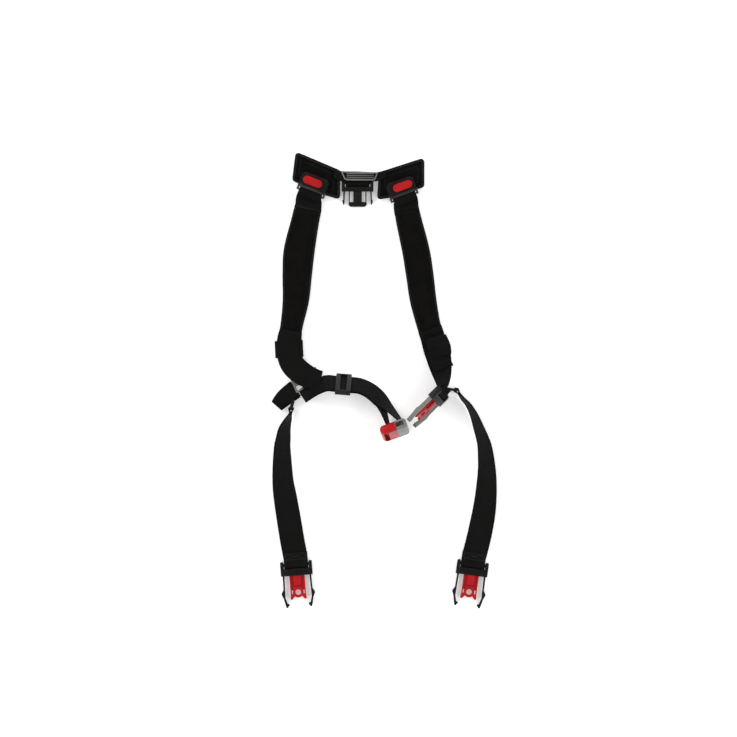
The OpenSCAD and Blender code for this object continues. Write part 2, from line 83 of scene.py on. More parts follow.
# Routes: x, y, lift above the surface, width, roll about the strap's length in degrees
LEFT_SHOULDER = [
    (-117.6, 270, 0, 43, 0), (-123, 246, 0, 44.5, 0), (-132, 201, 0, 49, 0), (-135, 163, 0, 46.5, 0),
    (-137, 126, 0, 42, 0), (-143, 89, 0, 36, 0), (-147, 66, 0, 36, 0),
]
RIGHT_SHOULDER = [
    (34.6, 270, 0, 39, 0), (39.5, 246, 0, 41, 0), (50, 201, 0, 43.5, 0), (56, 163, 0, 43.5, 0),
    (61, 126, 0, 42, 0), (69, 89, 0, 38, 0), (76, 66, 0, 38, 0),
]
LEFT_LOWER = [
    (-144.5, 78, 7.9, 35, 0), (-147, 64, 6.4, WEB_W, 0), (-148, 45, 6, WEB_W, 0), (-143, 27, 7, WEB_W, 6),
    (-131, 14, 9, WEB_W, 12), (-114, 4, 11, 36, 16), (-98, 0, 12, 33, 24),
]
LEFT_TAIL = [
    (-167, -40, 5, 21, 0), (-160.5, -32.5, 5, 25, 2), (-151, -23.5, 5, 28, 4), (-138, -14, 5, 30, 6),
]
CHEST = [
    (-127, -25, 6, WEB_W, 58), (-108, -12, 6, WEB_W, 55), (-90, -4.5, 6, WEB_W, 54),
    (-76, -5, 6, WEB_W, 54), (-63, -6, 6, WEB_W, 54), (-50, -7, 6, WEB_W, 54), (-36, -9, 6, WEB_W, 54),
    (-20, -17, 6, WEB_W, 54), (-6, -30, 6, WEB_W, 55),
]
CHEST_FRONT_END = [(9, -45, 6.5, WEB_W, 72), (26, -64, 6.5, WEB_W, 84)]
CHEST_BACK_END = [(0, -46, 6.5, WEB_W, 74), (8, -70, 6.5, WEB_W, 84)]
RIGHT_LOWER = [
    (71.5, 80, 7.9, WEB_W, 0), (75.5, 68, 6.6, WEB_W, 0), (80, 50, 6, WEB_W, 2), (86, 30, 8, WEB_W, 12),
    (90, 8, 9, WEB_W, 40), (91, -10, 8.7, WEB_W, 64),
]
RIGHT_TAIL = [(80, 66, 12, 34, -4), (86, 50, 15, 36, 0), (87, 34, 13, 35, 8), (92, 18, 20, 33, 16)]
LEFT_LEG = [
    (-144.5, -49, 3, WEB_W, 90), (-147.5, -58, 2, WEB_W, 78), (-154, -75, 1, WEB_W, 63),
    (-156.5, -92, 0.5, WEB_W, 55), (-158, -108, 0.2, WEB_W, 49), (-157, -154, 0.1, WEB_W, 33),
    (-153, -185, 0.1, WEB_W, 19), (-148, -216, 0.3, WEB_W, 10), (-143, -247, 1.6, WEB_W, 3),
    (-137.6, -275, 3.9, WEB_W, 0),
]
RIGHT_LEG = [
    (115.5, -19, 3, WEB_W, -88), (122, -28, 2, WEB_W, -84), (131, -38, 1.6, WEB_W, -80),
    (139.5, -53.5, 1.2, WEB_W, -74), (147, -73.6, 0.6, WEB_W, -67), (153.5, -92, 0.3, WEB_W, -61),
    (157, -108, 0.2, WEB_W, -56), (159.7, -139, 0.1, WEB_W, -46), (159, -170, 0.1, WEB_W, -34),
    (156, -201, 0.2, WEB_W, -22), (150.5, -232, 0.9, WEB_W, -10), (145, -256, 2.4, WEB_W, -3),
    (139.9, -275, 3.9, WEB_W, 0),
]
# Webbing from the latch plate of each lock down over the fold to the shoulder pad
LEFT_NECK = [
    (-113.3, 294.7, 10.9, 36, 0), (-114.6, 290, 8.4, 37.5, 0), (-117, 282, 5.3, 40, 0),
    (-117.3, 275, 4.2, 41, 0), (-117.6, 268, 4.6, 41, 0), (-119, 259, 5.2, 41, 0),
]
RIGHT_NECK = [
    (31.4, 287.5, 10.9, 36, 0), (32.8, 283.2, 9.2, 37, 0), (34.1, 278.8, 6.6, 38, 0), (34.4, 274, 5, 38.5, 0),
    (34.6, 268, 5, 38.5, 0), (35.8, 259, 5.4, 38.5, 0),
]


# ---------------------------------------------------------------- material graphs

class Graph:
    """A small helper that adds nodes to one material and links them."""

    def __init__(self, name):
        self.material = bpy.data.materials.new(name)
        self.material.use_nodes = True
        self.tree = self.material.node_tree
        self.shader = self.tree.nodes["Principled BSDF"]

    def node(self, kind, **settings):
        made = self.tree.nodes.new(kind)
        for key, value in settings.items():
            setattr(made, key, value)
        return made

    def feed(self, socket, value):
        if hasattr(value, "is_output"):
            self.tree.links.new(value, socket)
        else:
            socket.default_value = value

    def math(self, operation, a, b=0.0):
        made = self.node("ShaderNodeMath", operation=operation)
        self.feed(made.inputs[0], a)
        self.feed(made.inputs[1], b)
        return made.outputs[0]

    def split(self, vector):
        made = self.node("ShaderNodeSeparateXYZ")
        self.feed(made.inputs[0], vector)
        return made.outputs

    def attribute(self, name):
        return self.node("ShaderNodeAttribute", attribute_name=name).outputs["Vector"]

    def place(self):
        return self.node("ShaderNodeTexCoord").outputs["Object"]

    def noise(self, vector, scale, detail=3.0, roughness=0.55):
        made = self.node("ShaderNodeTexNoise")
        self.feed(made.inputs["Vector"], vector)
        made.inputs["Scale"].default_value = scale
        made.inputs["Detail"].default_value = detail
        made.inputs["Roughness"].default_value = roughness
        return made.outputs[0]

    def ramp(self, value, low, high, dark, light):
        made = self.node("ShaderNodeValToRGB")
        self.feed(made.inputs[0], value)
        made.color_ramp.elements[0].position = low
        made.color_ramp.elements[0].color = (*dark, 1)
        made.color_ramp.elements[1].position = high
        made.color_ramp.elements[1].color = (*light, 1)
        return made.outputs[0]

    def remap(self, value, low, high, to_low, to_high):
        made = self.node("ShaderNodeMapRange")
        self.feed(made.inputs["Value"], value)
        made.inputs["From Min"].default_value = low
        made.inputs["From Max"].default_value = high
        made.inputs["To Min"].default_value = to_low
        made.inputs["To Max"].default_value = to_high
        return made.outputs[0]

    def bump(self, height, distance, strength=1.0, below=None):
        made = self.node("ShaderNodeBump")
        made.inputs["Distance"].default_value = distance
        made.inputs["Strength"].default_value = strength
        self.feed(made.inputs["Height"], height)
        if below is not None:
            self.feed(made.inputs["Normal"], below)
        return made.outputs[0]

    def beads(self, u, v, pitch_u, pitch_v):
        """Rows of rounded bumps, each column shifted half a step: the face of a plain weave."""
        column = self.math("FLOOR", self.math("DIVIDE", u, pitch_u))
        shift = self.math("MULTIPLY", self.math("MODULO", self.math("ABSOLUTE", column), 2.0), 0.5)
        turn_v = self.math("MULTIPLY", self.math("ADD", self.math("DIVIDE", v, pitch_v), shift), math.pi)
        turn_u = self.math("MULTIPLY", self.math("DIVIDE", u, pitch_u), math.pi)
        bead_v = self.math("ABSOLUTE", self.math("SINE", turn_v))
        bead_u = self.math("ABSOLUTE", self.math("SINE", turn_u))
        return self.math("MULTIPLY", bead_v, self.math("POWER", bead_u, 0.6))

    def finish(self, colour, roughness, normal, sheen=0.0, coat=0.0, shine=0.3):
        self.shader.inputs["Specular IOR Level"].default_value = shine
        self.feed(self.shader.inputs["Base Color"], colour)
        self.feed(self.shader.inputs["Roughness"], roughness)
        self.feed(self.shader.inputs["Normal"], normal)
        self.shader.inputs["Sheen Weight"].default_value = sheen
        self.shader.inputs["Sheen Roughness"].default_value = 0.4
        self.shader.inputs["Coat Weight"].default_value = coat
        return self.material


def webbing_material():
    g = Graph("black_webbing")
    u, v, _ = g.split(g.attribute("strap"))
    weave = g.beads(u, v, 1.9 * MM, 2.7 * MM)
    fuzz = g.noise(g.place(), 900, 4)
    worn = g.noise(g.place(), 38, 3)
    shade = g.math("ADD", g.math("MULTIPLY", weave, 0.6), g.math("MULTIPLY", worn, 0.4))
    colour = g.ramp(shade, 0.15, 0.95, (0.0012, 0.0012, 0.0011), (0.0075, 0.0075, 0.0070))
    rough = g.remap(fuzz, 0.3, 0.7, 0.62, 0.85)
    normal = g.bump(fuzz, 0.15 * MM, 0.5, g.bump(weave, 0.45 * MM, 0.9))
    return g.finish(colour, rough, normal, shine=0.06)


def tape_material():
    g = Graph("binding_tape")
    u, v, _ = g.split(g.attribute("strap"))
    rib = g.math("ABSOLUTE", g.math("SINE", g.math("MULTIPLY", v, math.pi / (1.1 * MM))))
    fuzz = g.noise(g.place(), 1100, 3)
    shade = g.math("ADD", g.math("MULTIPLY", rib, 0.7), g.math("MULTIPLY", fuzz, 0.3))
    colour = g.ramp(shade, 0.1, 0.95, (0.002, 0.002, 0.002), (0.009, 0.009, 0.0085))
    normal = g.bump(rib, 0.25 * MM, 0.8)
    return g.finish(colour, g.remap(fuzz, 0.3, 0.7, 0.6, 0.8), normal, shine=0.08)


def cover_material():
    g = Graph("black_pad_fabric")
    x, y, z = g.split(g.place())
    weave = g.beads(g.math("ADD", x, z), g.math("SUBTRACT", y, z), 0.9 * MM, 1.2 * MM)
    # Slow wrinkles of the cover: they set the bump, and they also darken the colour in their hollows, which
    # is painted shade
    creases_and_shade = g.noise(g.place(), 55, 3, 0.5)
    fuzz = g.noise(g.place(), 700, 4)
    shade = g.math("ADD", g.math("MULTIPLY", weave, 0.45), g.math("MULTIPLY", creases_and_shade, 0.55))
    colour = g.ramp(shade, 0.2, 0.9, (0.0010, 0.0009, 0.0008), (0.0060, 0.0055, 0.0048))
    rough = g.remap(fuzz, 0.3, 0.7, 0.72, 0.92)
    normal = g.bump(weave, 0.22 * MM, 0.7, g.bump(creases_and_shade, 1.6 * MM, 0.35))
    return g.finish(colour, rough, normal, shine=0.05)


def lining_material():
    g = Graph("spacer_mesh_lining")
    cells = g.node("ShaderNodeTexVoronoi", feature="F1")
    g.feed(cells.inputs["Vector"], g.place())
    cells.inputs["Scale"].default_value = 420
    hole = cells.outputs["Distance"]
    colour = g.ramp(hole, 0.1, 0.6, (0.005, 0.005, 0.005), (0.045, 0.045, 0.047))
    normal = g.bump(hole, 0.5 * MM, 0.8)
    return g.finish(colour, g.remap(hole, 0.1, 0.6, 0.9, 0.7), normal, shine=0.05)


def plastic_material(name, dark, light, rough_low, rough_high, coat=0.0, grain=0.07, shine=0.3):
    g = Graph(name)
    broad = g.noise(g.place(), 45, 3)
    fine = g.noise(g.place(), 1500, 2)
    scuff = g.noise(g.place(), 260, 5, 0.7)
    colour = g.ramp(g.math("ADD", g.math("MULTIPLY", broad, 0.7), g.math("MULTIPLY", scuff, 0.3)),
                    0.3, 0.7, dark, light)
    rough = g.remap(scuff, 0.35, 0.7, rough_low, rough_high)
    normal = g.bump(fine, grain * MM, 0.5, g.bump(broad, 0.25 * MM, 0.15))
    return g.finish(colour, rough, normal, coat=coat, shine=shine)


def thread_material():
    g = Graph("bonded_thread")
    twist = g.noise(g.place(), 1800, 2)
    colour = g.ramp(twist, 0.3, 0.7, (0.007, 0.007, 0.007), (0.024, 0.024, 0.023))
    return g.finish(colour, g.remap(twist, 0.3, 0.7, 0.45, 0.65), g.bump(twist, 0.1 * MM, 0.6))


def steel_material():
    g = Graph("spring_wire")
    drawn = g.noise(g.place(), 900, 3)
    colour = g.ramp(drawn, 0.3, 0.7, (0.45, 0.45, 0.46), (0.62, 0.62, 0.63))
    g.shader.inputs["Metallic"].default_value = 1.0
    return g.finish(colour, g.remap(drawn, 0.3, 0.7, 0.25, 0.4), g.bump(drawn, 0.05 * MM, 0.3))


# Two colours (dark, light), then the lowest and highest roughness
PLASTICS = {
    "black_plastic": ("black_plastic", (0.0025, 0.0023, 0.002), (0.0075, 0.007, 0.006), 0.34, 0.5),
    "grey_plastic": ("dark_grey_plastic", (0.007, 0.007, 0.007), (0.018, 0.018, 0.017), 0.35, 0.5),
    "light_plastic": ("light_grey_plastic", (0.11, 0.114, 0.107), (0.19, 0.195, 0.183), 0.28, 0.45),
    "lip_plastic": ("brown_grey_plastic", (0.022, 0.018, 0.017), (0.050, 0.041, 0.038), 0.34, 0.5),
    "red_plastic": ("red_plastic", (0.24, 0.002, 0.004), (0.43, 0.006, 0.010), 0.3, 0.42),
    "piping": ("grey_piping", (0.10, 0.10, 0.095), (0.19, 0.19, 0.18), 0.35, 0.5),
}
PLASTIC_EXTRAS = {
    "black_plastic": {"shine": 0.14},
    "grey_plastic": {"shine": 0.14},
    "red_plastic": {"coat": 0.1, "grain": 0.02, "shine": 0.16},
}
MATERIALS = {
    "webbing": webbing_material(),
    "binding": tape_material(),
    "fabric": cover_material(),
    "lining": lining_material(),
    "thread": thread_material(),
    "spring_steel": steel_material(),
}
for slot, values in PLASTICS.items():
    MATERIALS[slot] = plastic_material(*values, **PLASTIC_EXTRAS.get(slot, {}))


# ---------------------------------------------------------------- mesh helpers

def add_object(name, verts, faces, material_name, body, strap=None, smooth=True):
    mesh = bpy.data.meshes.new(name)
    mesh.from_pydata([tuple(p) for p in verts], [], faces)
    if strap is not None:
        layer = mesh.attributes.new("strap", "FLOAT_VECTOR", "POINT")
        layer.data.foreach_set("vector", np.asarray(strap, dtype=np.float32).ravel())
    mesh.polygons.foreach_set("use_smooth", [smooth] * len(mesh.polygons))
    mesh.materials.append(MATERIALS[material_name])
    obj = bpy.data.objects.new(name, mesh)
    bpy.context.scene.collection.objects.link(obj)
    fix_normals(obj)
    if body:
        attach(obj, body)
    return obj


def fix_normals(obj):
    bm = bmesh.new()
    bm.from_mesh(obj.data)
    bmesh.ops.recalc_face_normals(bm, faces=bm.faces)
    bm.to_mesh(obj.data)
    bm.free()


def catmull(points, steps):
    """The same smooth curve through a route's points as in the CAD."""
    p = np.array(points, dtype=float)
    out = []
    for i in range(len(p) - 1):
        a, b, c, d = p[max(i - 1, 0)], p[i], p[i + 1], p[min(i + 2, len(p) - 1)]
        for j in range(steps):
            f = j / steps
            out.append(0.5 * (2 * b + (c - a) * f + (2 * a - 5 * b + 4 * c - d) * f * f
                              + (3 * b - a - 3 * c + d) * f ** 3))
    out.append(p[-1])
    return np.array(out)


class Strip:
    """Stations along a strap: its middle, the direction across it and the direction out of its face."""

    def __init__(self, route, thickness, steps=12):
        s = catmull(route, steps)
        ahead = np.vstack([s[1:], s[-1:]])
        behind = np.vstack([s[:1], s[:-1]])
        head = ahead[:, :2] - behind[:, :2]
        head = head / np.linalg.norm(head, axis=1)[:, None]
        roll = np.radians(s[:, 4])
        across = np.column_stack([head[:, 1], -head[:, 0], np.zeros(len(s))])
        up = np.array([0.0, 0.0, 1.0])
        self.side = across * np.cos(roll)[:, None] + up * np.sin(roll)[:, None]
        self.face = up * np.cos(roll)[:, None] - across * np.sin(roll)[:, None]
        middle = s[:, 2] + s[:, 3] / 2 * np.abs(np.sin(roll)) + thickness / 2 * np.cos(roll)
        self.centre = np.column_stack([s[:, 0], s[:, 1], middle])
        self.half = s[:, 3] / 2
        gaps = np.linalg.norm(np.diff(self.centre, axis=0), axis=1)
        self.along = np.concatenate([[0], np.cumsum(gaps)])
        self.count = len(s)

    def point(self, i, a, b):
        return self.centre[i] + self.side[i] * a + self.face[i] * b


def loft(name, rings, strap, material_name, body, loop=False):
    """Joins closed rings of points into one closed skin. rings is (stations, points, 3), in millimetres."""
    rings = np.asarray(rings)
    n, m = rings.shape[:2]
    faces = []
    for i in range(n if loop else n - 1):
        j = (i + 1) % n
        for k in range(m):
            q = (k + 1) % m
            faces.append((i * m + k, i * m + q, j * m + q, j * m + k))
    if not loop:
        faces.append(tuple(range(m - 1, -1, -1)))
        faces.append(tuple((n - 1) * m + k for k in range(m)))
    return add_object(name, rings.reshape(-1, 3) * MM, faces, material_name, body,
                      strap=np.asarray(strap).reshape(-1, 3) * MM)


def web_section(half, low, high, columns=10):
    """Round-edged flat section from -half to half, as (across, height) pairs."""
    r = (high - low) / 2
    mid = (high + low) / 2
    inner = half - r
    top = [(inner * (2 * k / columns - 1), high) for k in range(columns + 1)]
    right = [(inner + r * math.sin(a), mid + r * math.cos(a)) for a in (0.9, math.pi / 2, math.pi - 0.9)]
    bottom = [(-x, low) for x, _ in top]
    left = [(-x, 2 * mid - y) for x, y in right]
    return top + right + bottom + left


def ripple(along, across, size):
    """Slow unevenness of a soft strap lying by itself."""
    return size * (math.sin(along / 17.0 + across / 21.0) + 0.6 * math.sin(along / 7.3 - across / 11.0 + 1.3))


def webbing(name, route, node, low=-WEB_T / 2, high=WEB_T / 2, thickness=WEB_T, steps=12, body=None,
            soft=0.12, bend=None, material_name="webbing"):
    """One layer of webbing swept along a route."""
    strip = Strip(route, thickness, steps)
    rings = []
    strap = []
    for i in range(strip.count):
        ring = []
        for a, b in web_section(strip.half[i], low, high):
            lift = ripple(strip.along[i], a, soft)
            if bend:
                lift += bend(strip.along[i] / strip.along[-1], a / strip.half[i])
            ring.append(strip.point(i, a, b + lift))
            strap.append((a, strip.along[i], b))
        rings.append(ring)
    obj = loft(name, rings, strap, material_name, body or BODY_OF[node])
    if node:
        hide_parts(node)
    return obj, strip


def stitch_row(name, points, ups, body, pitch=3.3, length=2.5, radius=0.3, material_name="thread"):
    """Short round stitches laid end to end along a path, each one dipping into the cloth at its ends."""
    points = np.asarray(points, dtype=float)
    ups = np.asarray(ups, dtype=float)
    gaps = np.linalg.norm(np.diff(points, axis=0), axis=1)
    along = np.concatenate([[0], np.cumsum(gaps)])
    count = int(along[-1] // pitch)
    verts = []
    faces = []
    rings = [(-0.5, 0.35, -0.35), (-0.3, 0.9, 0.1), (0.0, 1.0, 0.3), (0.3, 0.9, 0.1), (0.5, 0.35, -0.35)]
    sides = 6
    for n in range(count):
        middle = (n + 0.5) * pitch
        at = np.array([np.interp(middle, along, points[:, k]) for k in range(3)])
        tail = np.array([np.interp(middle + 0.5, along, points[:, k]) for k in range(3)])
        head = np.array([np.interp(middle - 0.5, along, points[:, k]) for k in range(3)])
        up = np.array([np.interp(middle, along, ups[:, k]) for k in range(3)])
        run = (tail - head) / np.linalg.norm(tail - head)
        across = np.cross(run, up)
        across = across / np.linalg.norm(across)
        up = np.cross(across, run)
        base = len(verts)
        for step, scale, rise in rings:
            for k in range(sides):
                turn = 2 * math.pi * k / sides
                verts.append(at + run * step * length + up * radius * rise
                             + (across * math.cos(turn) + up * math.sin(turn)) * radius * scale)
        for r in range(len(rings) - 1):
            for k in range(sides):
                q = (k + 1) % sides
                faces.append((base + r * sides + k, base + r * sides + q,
                              base + (r + 1) * sides + q, base + (r + 1) * sides + k))
        faces.append(tuple(base + k for k in range(sides)))
        faces.append(tuple(base + (len(rings) - 1) * sides + k for k in range(sides - 1, -1, -1)))
    return add_object(name, np.array(verts) * MM, faces, material_name, body)


def from_cad(node, bevel, segments=3, material_name=None):
    """A finished copy of a hard CAD part: welded, its edges rounded as a moulding's are."""
    source = frame["nodes"][node]
    obj = bpy.data.objects.new(node + "_moulding", source.data.copy())
    bpy.context.scene.collection.objects.link(obj)
    bm = bmesh.new()
    bm.from_mesh(obj.data)
    bmesh.ops.remove_doubles(bm, verts=bm.verts, dist=0.01 * MM)
    bmesh.ops.dissolve_limit(bm, angle_limit=math.radians(2), verts=bm.verts, edges=bm.edges)
    bmesh.ops.recalc_face_normals(bm, faces=bm.faces)
    bm.to_mesh(obj.data)
    bm.free()
    obj.data.materials.clear()
    obj.data.materials.append(MATERIALS[material_name or SLOT_OF[node]])
    rounded = obj.modifiers.new("rounded edges", "BEVEL")
    rounded.width = bevel * MM
    rounded.segments = segments
    rounded.limit_method = "ANGLE"
    rounded.angle_limit = math.radians(38)
    rounded.use_clamp_overlap = True
    rounded.miter_outer = "MITER_ARC"
    smooth_by_angle(obj)
    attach(obj, BODY_OF[node])
    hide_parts(node)
    return obj


def smooth_by_angle(obj, degrees=32):
    """Applies the modifiers and marks hard edges, so that flat faces stay flat and round ones smooth."""
    shown = obj.evaluated_get(bpy.context.evaluated_depsgraph_get())
    mesh = bpy.data.meshes.new_from_object(shown)
    obj.modifiers.clear()
    obj.data = mesh
    mesh.polygons.foreach_set("use_smooth", [True] * len(mesh.polygons))
    mesh.set_sharp_from_angle(angle=math.radians(degrees))


def turned(place, turn, roll, v):
    """A point of a buckle's own frame, in millimetres of the row frame."""
    r, t = math.radians(roll), math.radians(turn)
    x, y, z = v
    x, z = x * math.cos(r) + z * math.sin(r), -x * math.sin(r) + z * math.cos(r)
    return np.array([place[0] + x * math.cos(t) - y * math.sin(t),
                     place[1] + x * math.sin(t) + y * math.cos(t), place[2] + z])


# ---------------------------------------------------------------- outlines and padded panels

def even_loop(points, step):
    """A closed path resampled to even steps, with the direction out of it at every point."""
    p = np.asarray(points, dtype=float)
    x, y = p[:, 0], p[:, 1]
    if np.sum(x * np.roll(y, -1) - np.roll(x, -1) * y) < 0:
        p = p[::-1]
    closed = np.vstack([p, p[:1]])
    along = np.concatenate([[0], np.cumsum(np.linalg.norm(np.diff(closed, axis=0), axis=1))])
    count = int(round(along[-1] / step))
    at = np.arange(count) * along[-1] / count
    loop = np.column_stack([np.interp(at, along, closed[:, k]) for k in (0, 1)])
    run = np.roll(loop, -1, axis=0) - np.roll(loop, 1, axis=0)
    run = run / np.linalg.norm(run, axis=1)[:, None]
    return loop, np.column_stack([run[:, 1], -run[:, 0]])


def rounded_outline(points, radius, inset, step=2.5):
    """A convex outline moved inward, with its corners rounded."""
    p = np.array(points, dtype=float)
    x, y = p[:, 0], p[:, 1]
    if np.sum(x * np.roll(y, -1) - np.roll(x, -1) * y) < 0:
        p = p[::-1]
    arcs = []
    for i in range(len(p)):
        u = p[i] - p[i - 1]
        v = p[(i + 1) % len(p)] - p[i]
        first = np.array([u[1], -u[0]]) / np.linalg.norm(u)
        second = np.array([v[1], -v[0]]) / np.linalg.norm(v)
        middle = (first + second) / np.linalg.norm(first + second)
        centre = p[i] - middle * (radius + inset) / np.dot(middle, first)
        start = math.atan2(first[1], first[0])
        turn = (math.atan2(second[1], second[0]) - start) % (2 * math.pi)
        for k in range(7):
            a = start + turn * k / 6
            arcs.append(centre + radius * np.array([math.cos(a), math.sin(a)]))
    return even_loop(arcs, step)


def strip_outline(route, inset, step=2.5):
    """The outline of a level strap, moved inward."""
    strip = Strip(route, STRAP_PAD_T)
    head = strip.centre[1] - strip.centre[0]
    tail = strip.centre[-1] - strip.centre[-2]
    first = strip.centre[0] + head / np.linalg.norm(head) * inset
    last = strip.centre[-1] - tail / np.linalg.norm(tail) * inset
    keep = [i for i in range(strip.count) if inset < strip.along[i] < strip.along[-1] - inset]
    right = [first + strip.side[0] * (strip.half[0] - inset)]
    right += [strip.point(i, strip.half[i] - inset, 0) for i in keep]
    right += [last + strip.side[-1] * (strip.half[-1] - inset)]
    left = [first - strip.side[0] * (strip.half[0] - inset)]
    left += [strip.point(i, inset - strip.half[i], 0) for i in keep]
    left += [last - strip.side[-1] * (strip.half[-1] - inset)]
    return even_loop([p[:2] for p in right + left[::-1]], step)


def depth_inside(points, loop):
    """Distance from each point to a closed path."""
    best = np.full(len(points), 1e9)
    for a, b in zip(loop, np.roll(loop, -1, axis=0)):
        run = b - a
        f = np.clip(((points - a) @ run) / (run @ run), 0, 1)
        best = np.minimum(best, np.linalg.norm(points - (a + f[:, None] * run), axis=1))
    return best


def coordinates(mesh):
    flat = np.empty(len(mesh.vertices) * 3, dtype=np.float32)
    mesh.vertices.foreach_get("co", flat)
    return flat.reshape(-1, 3).astype(float)


def set_coordinates(mesh, points):
    mesh.vertices.foreach_set("co", np.asarray(points, dtype=np.float32).ravel())
    mesh.update()


def apply_modifiers(obj):
    shown = obj.evaluated_get(bpy.context.evaluated_depsgraph_get())
    mesh = bpy.data.meshes.new_from_object(shown)
    obj.modifiers.clear()
    obj.data = mesh


def inflate(obj, voxel, cap_level, cap_up, frames=20):
    """Fills a closed shape out the way foam does, with a limit on how far a point may move."""
    remesh = obj.modifiers.new("even skin", "REMESH")
    remesh.mode = "VOXEL"
    remesh.voxel_size = voxel * MM
    apply_modifiers(obj)
    before = coordinates(obj.data)
    cloth = obj.modifiers.new("stuffing", "CLOTH")
    cloth.settings.quality = 6
    cloth.settings.mass = 0.3
    cloth.settings.tension_stiffness = 12
    cloth.settings.compression_stiffness = 12
    cloth.settings.shear_stiffness = 6
    cloth.settings.bending_stiffness = 0.6
    cloth.settings.use_pressure = True
    cloth.settings.uniform_pressure_force = 4
    cloth.settings.shrink_min = -0.06
    cloth.settings.effector_weights.gravity = 0
    cloth.point_cache.frame_end = frames
    for frame_number in range(1, frames + 1):
        bpy.context.scene.frame_set(frame_number)
    apply_modifiers(obj)
    bpy.context.scene.frame_set(1)
    moved = coordinates(obj.data) - before
    level = np.linalg.norm(moved[:, :2], axis=1)
    moved[:, :2] *= np.minimum(1, cap_level * MM / np.maximum(level, 1e-9))[:, None]
    moved[:, 2] = np.clip(moved[:, 2], -cap_up * MM, cap_up * MM)
    set_coordinates(obj.data, before + moved)


RIM = 5.4             # thickness that the binding squeezes a pad's edge to
SEAM_IN = 10.0        # stitched channel, in from the pad's edge
SEAM_DROP = 1.7       # depth that the channel's stitches hold the cover down
PAD_VOXEL = 3.4       # size of the even skin's cells before the simulation
PAD_CAP_LEVEL = 0.2   # furthest that the simulation may move a point sideways, so no gap opens at the edge
PAD_CAP_UP = 2.0      # furthest that it may move a point up or down


def padded_panel(name, outline, core, top, nodes):
    """A foam pad: swollen between its edge and a stitched channel, its underside in lining mesh."""
    low, high = 1.4, top - 1.2
    loop = core[0]
    count = len(loop)
    verts = [(x, y, z) for z in (low, high) for x, y in loop]
    faces = [tuple(range(count - 1, -1, -1)), tuple(range(count, 2 * count))]
    faces += [(k, (k + 1) % count, (k + 1) % count + count, k + count) for k in range(count)]
    obj = add_object(name, np.array(verts) * MM, faces, "fabric", None)
    inflate(obj, PAD_VOXEL, PAD_CAP_LEVEL, PAD_CAP_UP)
    finer = obj.modifiers.new("finer", "SUBSURF")
    finer.levels = finer.render_levels = 1
    apply_modifiers(obj)
    points = coordinates(obj.data) / MM
    depth = depth_inside(points[:, :2], outline[0])
    middle = top / 2
    f = np.clip(depth / 9.0, 0, 1)
    swell = RIM / top + (1 - RIM / top) * f * f * (3 - 2 * f)
    channel = 1 - 0.2 * np.exp(-((depth - SEAM_IN) / 1.5) ** 2)
    wave = 0.22 * np.sin(points[:, 0] / 8.0 + points[:, 1] / 13.0) + 0.16 * np.sin(points[:, 1] / 6.1)
    points[:, 2] = middle + (points[:, 2] - middle) * 1.05 * swell * channel + wave * f
    ceiling = top - 0.1 - SEAM_DROP * np.exp(-((depth - SEAM_IN) / 1.5) ** 2)
    points[:, 2] = np.clip(points[:, 2], 0.25, ceiling)
    set_coordinates(obj.data, points * MM)
    obj.data.materials.clear()
    obj.data.materials.append(MATERIALS["fabric"])
    obj.data.materials.append(MATERIALS["lining"])
    for polygon in obj.data.polygons:
        polygon.use_smooth = True
        polygon.material_index = 1 if polygon.normal.z < -0.4 else 0
    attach(obj, BODY_OF[nodes[0]])
    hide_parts(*nodes)
    return obj


def edge_loop(name, outline, section, material_name, body):
    """A closed section of (outward, height) pairs swept round an outline."""
    loop, out = outline
    step = np.linalg.norm(loop[1] - loop[0])
    rings = []
    strap = []
    for i in range(len(loop)):
        rings.append([(loop[i][0] + out[i][0] * a, loop[i][1] + out[i][1] * a, b) for a, b in section])
        strap.append([(a + b, i * step, b) for a, b in section])
    return loft(name, rings, strap, material_name, body, loop=True)


def tape_section(width, low, high):
    """Tape folded over an edge, as (outward, height) pairs."""
    middle = (low + high) / 2
    rise = (high - low) / 2
    face = [
        (-width, rise - 1.3), (-width + 0.25, rise - 0.5), (-width + 1.4, rise - 0.1), (-width * 0.45, rise),
    ]
    fold = [(-1.0 + 1.0 * math.sin(a), rise * math.cos(a)) for a in np.linspace(0.35, math.pi - 0.35, 9)]
    under = [(a, -b) for a, b in face[::-1]]
    return [(a, middle + b) for a, b in face + fold + under]


def bound_edge(name, outline, width, low, high, node, material_name="binding"):
    body = BODY_OF[node]
    obj = edge_loop(name + "_binding", outline, tape_section(width, low, high), material_name, body)
    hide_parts(node)
    loop, out = outline
    inner = loop - out * (width - 0.9)
    closed = np.vstack([inner, inner[:1]])
    path = np.column_stack([closed, np.full(len(closed), high - 0.08)])
    stitch_row(name + "_edge_stitches", path, [(0, 0, 1)] * len(path), body)
    under = np.column_stack([closed, np.full(len(closed), low + 0.08)])
    stitch_row(name + "_under_stitches", under, [(0, 0, -1)] * len(under), body)
    return obj


def seam_row(name, core, height, body):
    """The stitched channel of a pad."""
    loop, _ = core
    closed = np.vstack([loop, loop[:1]])
    path = np.column_stack([closed, np.full(len(closed), height)])
    return stitch_row(name, path, [(0, 0, 1)] * len(path), body, pitch=4.0, length=2.9, radius=0.32)


WING_CORNER = 5.0
for side, points in (("left", LEFT_WING), ("right", RIGHT_WING)):
    wing_nodes = [side + "_wing_cover", side + "_wing_foam", side + "_wing_lining"]
    outer = rounded_outline(points, WING_CORNER, 0)
    core = rounded_outline(points, WING_CORNER, 2.4, 3.0)
    padded_panel(side + "_wing_pad", outer, core, PAD_T, wing_nodes)
    bound_edge(side + "_wing", outer, BINDING_W, 0.4, 9.6, side + "_wing_binding")
    seam_row(side + "_wing_channel", rounded_outline(points, 3.0, SEAM_IN), 9.0, "yoke")

